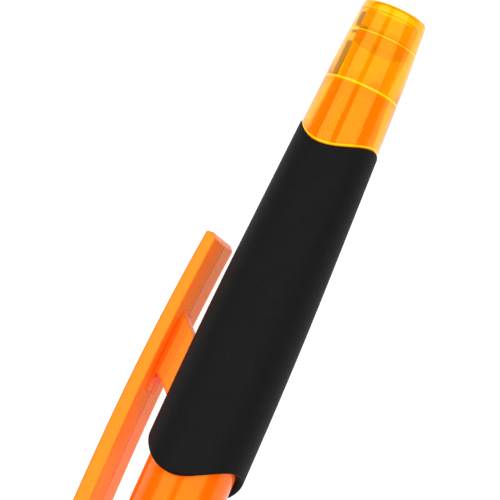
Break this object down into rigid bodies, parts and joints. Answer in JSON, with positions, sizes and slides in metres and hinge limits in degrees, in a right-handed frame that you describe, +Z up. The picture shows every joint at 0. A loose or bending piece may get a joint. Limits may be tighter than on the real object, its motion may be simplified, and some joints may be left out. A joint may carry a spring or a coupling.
{
  "type": "retractable highlighter",
  "caption": "Click-action highlighter with a clear amber nose, a shuttered nib, a rubber grip sleeve and a moulded pocket clip.",
  "frame": {"origin": "on the surface that the pen lies on, under the middle of its bounding box", "axes": "+X along the pen's axis towards the nose, +Z up, +Y towards the clip's side; the pen lies on its grip and on the outer edge of its clip"},
  "size_m": [0.13, 0.0208, 0.0145],
  "materials": {
    "amber_clear": "clear amber polycarbonate, polished",
    "orange_gloss": "glossy moulded orange",
    "orange_clip": "satin-gloss moulded orange",
    "orange_button": "glossy moulded orange",
    "orange_inner": "plain moulded orange",
    "soft_rubber": "matte soft-touch black",
    "seal_rubber": "plain black",
    "white_plastic": "plain moulded",
    "grey_plastic": "plain moulded",
    "steel": "drawn wire",
    "felt": "ink-soaked felt",
    "ink_fibre": "ink-soaked fibre"
  },
  "bodies": {
    "pen": {"barrel": "orange_gloss", "nose_cone": "amber_clear", "grip_sleeve": "soft_rubber", "nose_seal_ring": "seal_rubber", "shutter_frame": "orange_inner", "shutter_seal": "orange_inner", "shutter_pins": "steel", "shutter_spring_left": "steel", "shutter_spring_right": "steel", "cam_sleeve": "grey_plastic", "rear_bush": "orange_gloss", "return_spring": "steel"},
    "button": {"push_button": "orange_button", "cam_plunger": "grey_plastic"},
    "refill": {"refill_tube": "white_plastic", "ink_reservoir": "ink_fibre", "nib": "felt", "nib_holder": "white_plastic", "refill_end_plug": "white_plastic", "spring_collar": "white_plastic"},
    "rotor": {"cam_rotor": "grey_plastic"},
    "leaf_left": {"shutter_leaf_left": "orange_inner"},
    "leaf_right": {"shutter_leaf_right": "orange_inner"},
    "clip": {"clip": "orange_clip"}
  },
  "joints": [
    {"name": "button_press", "type": "slide", "parent": "pen", "child": "button", "axis": [1, 0, 0], "range_m": [0, 0.014], "stiffness_N_per_m": 120, "springref_m": -0.012, "deforming": ["return_spring"]},
    {"name": "refill_advance", "type": "slide", "parent": "pen", "child": "refill", "axis": [1, 0, 0], "range_m": [0, 0.01401]},
    {"name": "rotor_turn", "type": "hinge", "parent": "refill", "child": "rotor", "pos_m": [0.065, -0.00313, 0.00725], "axis": [1, 0, 0], "range_deg": [0, 45.1]},
    {"name": "shutter_left_open", "type": "hinge", "parent": "pen", "child": "leaf_left", "pos_m": [0.0608, -0.00393, 0.00499], "axis": [0, 0.9437, -0.3309], "range_deg": [0, 90.1]},
    {"name": "shutter_right_open", "type": "hinge", "parent": "pen", "child": "leaf_right", "pos_m": [0.0608, -0.00234, 0.00951], "axis": [0, -0.9437, 0.3309], "range_deg": [0, 90.1]},
    {"name": "clip_flex", "type": "hinge", "parent": "pen", "child": "clip", "pos_m": [-0.0385, 0.00687, 0.00374], "axis": [0, 0.3309, 0.9437], "range_deg": [0, 4], "stiffness_Nm_per_rad": 0.5, "springref_deg": -2.86}
  ],
  "couplings": [
    {"joint": "refill_advance", "follows": "button_press", "ratio": 1},
    {"joint": "rotor_turn", "follows": "button_press", "rad_per_m": 56.1},
    {"joint": "shutter_left_open", "follows": "button_press", "rad_per_m": 112.2},
    {"joint": "shutter_right_open", "follows": "button_press", "rad_per_m": 112.2}
  ]
}
